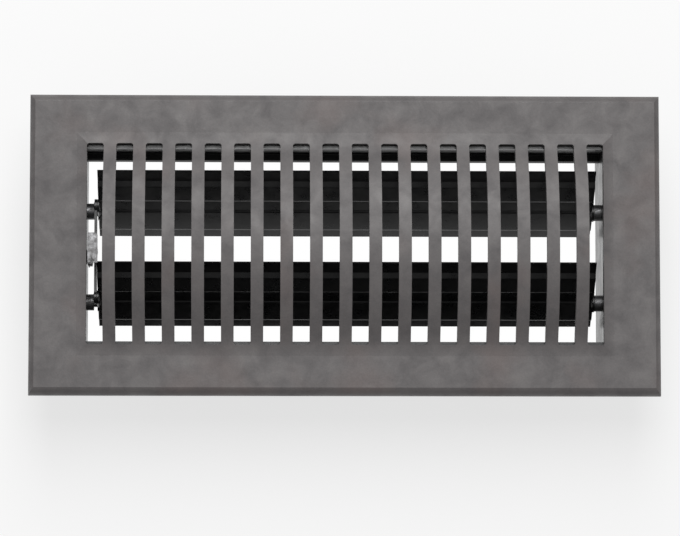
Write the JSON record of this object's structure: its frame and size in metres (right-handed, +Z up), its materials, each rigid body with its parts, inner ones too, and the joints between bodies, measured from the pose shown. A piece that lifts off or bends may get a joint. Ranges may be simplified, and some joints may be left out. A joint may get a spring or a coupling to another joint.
{
  "type": "vent register",
  "caption": "Drop-in vent register: cast plate with bowed bars over a sheet-steel box whose louvre blades are set by a thumb lever.",
  "frame": {"origin": "Centre of the damper box's lower rim, which is the lowest plane of the register and the middle of the plate as seen from above.", "axes": "+X along the row of slots, towards the end without the thumb lever. +Y across the plate, towards the upper blade (the top of the picture). +Z up out of the duct, through the face."},
  "size_m": [0.292, 0.1396, 0.0725],
  "materials": {
    "cast_plate": "dark brown-grey, satin, finely mottled casting",
    "black_sheet": "black semi-gloss enamel on sheet steel",
    "lever_steel": "dull grey sheet steel",
    "fastener_steel": "dull grey steel"
  },
  "bodies": {
    "frame": {"faceplate": "cast_plate", "rear_side_wall": "black_sheet", "front_side_wall": "black_sheet", "left_end_plate": "black_sheet", "right_end_plate": "black_sheet", "corner_rivets": "fastener_steel", "plate_screw_rear_left": "fastener_steel", "plate_screw_rear_right": "fastener_steel", "plate_screw_front_left": "fastener_steel", "plate_screw_front_right": "fastener_steel", "upper_left_pivot": "fastener_steel", "upper_right_pivot": "fastener_steel", "lower_left_pivot": "fastener_steel", "lower_right_pivot": "fastener_steel", "upper_left_spacer": "fastener_steel", "upper_right_spacer": "fastener_steel", "lower_left_spacer": "fastener_steel", "lower_right_spacer": "fastener_steel", "lever_pivot": "fastener_steel", "lever_spring_washer": "fastener_steel"},
    "upper_louvre": {"upper_blade": "black_sheet", "upper_link_rivet": "fastener_steel"},
    "lower_louvre": {"lower_blade": "black_sheet", "lower_link_rivet": "fastener_steel"},
    "lever": {"thumb_lever": "lever_steel", "lever_link_rivet": "fastener_steel"},
    "link": {"link_bar": "black_sheet"}
  },
  "joints": [
    {"name": "upper_blade_tilt", "type": "hinge", "parent": "frame", "child": "upper_louvre", "pos_m": [0, 0.0185, 0.0255], "axis": [1, 0, 0], "range_deg": [-52.5, 35.5]},
    {"name": "lower_blade_tilt", "type": "hinge", "parent": "frame", "child": "lower_louvre", "pos_m": [0, -0.0243, 0.0255], "axis": [1, 0, 0], "range_deg": [-52.5, 35.5]},
    {"name": "lever_swing", "type": "hinge", "parent": "frame", "child": "lever", "pos_m": [-0.1184, -0.0029, 0.0255], "axis": [1, 0, 0], "range_deg": [-52.5, 35.5]},
    {"name": "link_swing", "type": "hinge", "parent": "lever", "child": "link", "pos_m": [-0.11605, -0.00142, 0.03539], "axis": [1, 0, 0], "range_deg": [-35.5, 52.5]}
  ],
  "couplings": [
    {"joint": "lower_blade_tilt", "follows": "upper_blade_tilt", "ratio": 1},
    {"joint": "lever_swing", "follows": "upper_blade_tilt", "ratio": 1},
    {"joint": "link_swing", "follows": "upper_blade_tilt", "ratio": -1}
  ]
}
